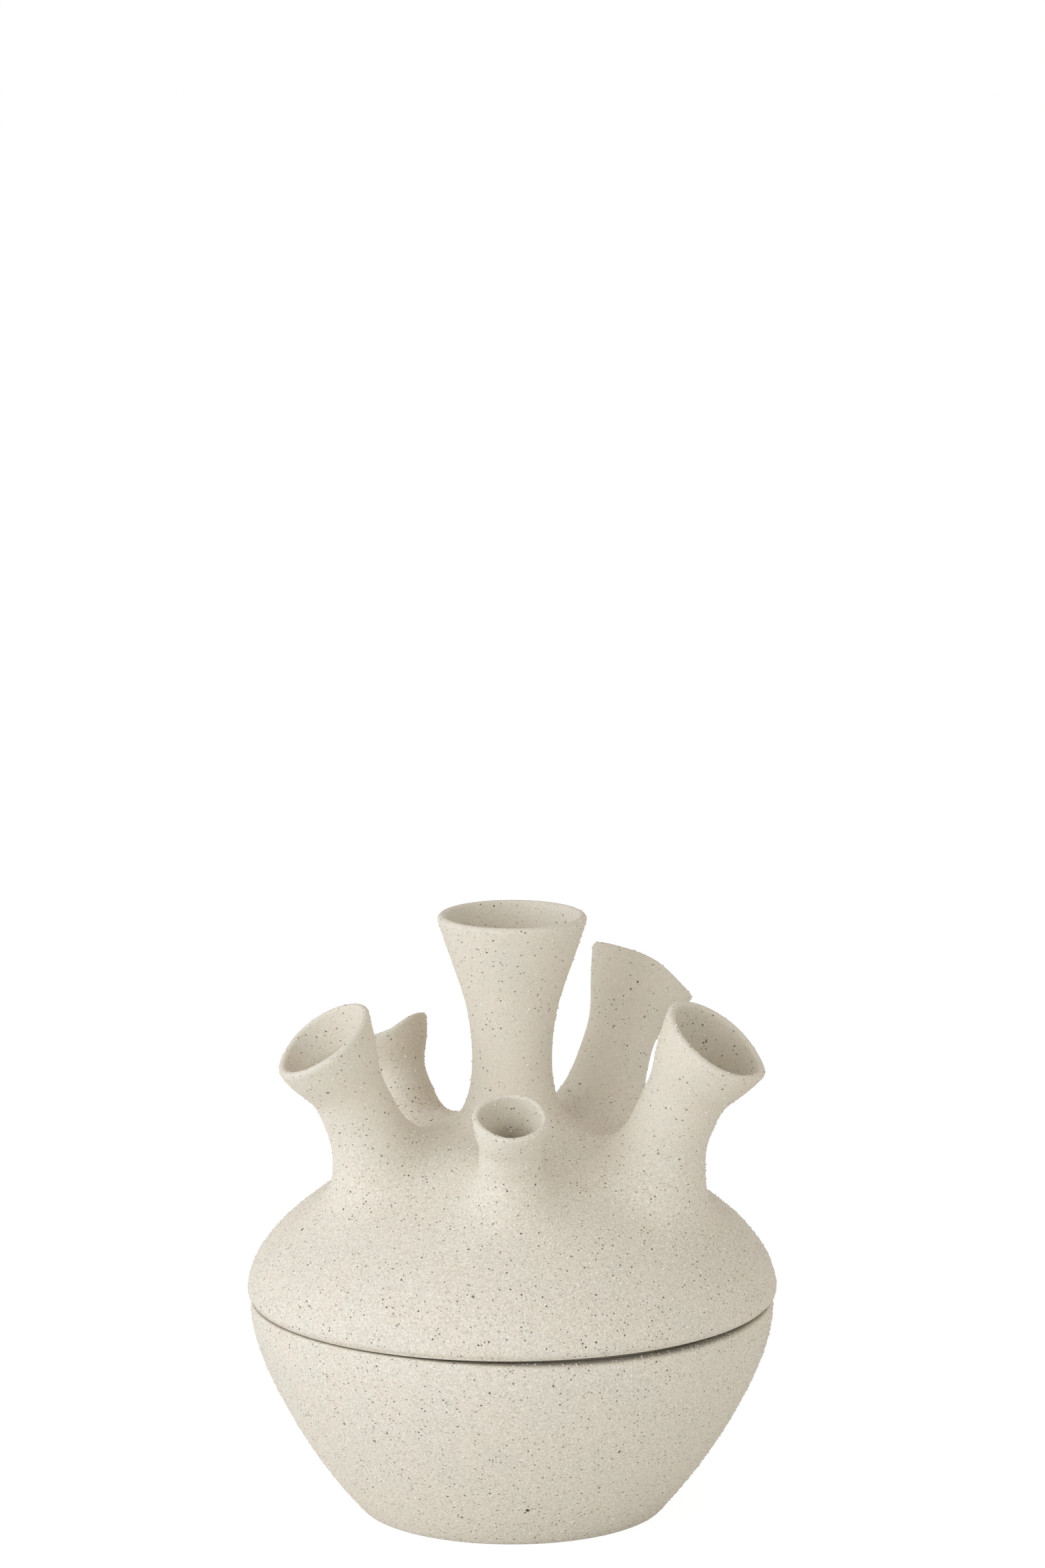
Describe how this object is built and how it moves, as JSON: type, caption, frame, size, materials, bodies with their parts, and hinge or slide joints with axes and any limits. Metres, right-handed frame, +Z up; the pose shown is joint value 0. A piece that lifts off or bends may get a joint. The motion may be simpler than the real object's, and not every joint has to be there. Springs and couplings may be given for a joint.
{
  "type": "tulip vase",
  "caption": "Round stoneware tulip vase: a bowl with a lift-off domed cover that carries flared spouts, a tall one in the middle and leaning ones around it.",
  "frame": {"origin": "centre of the foot, on the surface that the vase stands on", "axes": "+Z up along the middle spout, -Y towards the small front spout, +X to the right seen from the front"},
  "size_m": [0.2004, 0.2004, 0.2276],
  "materials": {
    "bowl_clay": "matt unglazed stoneware with fine pale sand and sparse dark speckles",
    "cover_clay": "matt unglazed stoneware with fine pale sand and sparse dark speckles"
  },
  "bodies": {
    "bowl": {"bowl": "bowl_clay"},
    "cover": {"spout_cover": "cover_clay"}
  },
  "joints": [
    {"name": "cover_lift", "type": "slide", "parent": "bowl", "child": "cover", "axis": [0, 0, 1], "range_m": [0, 0.12]}
  ]
}
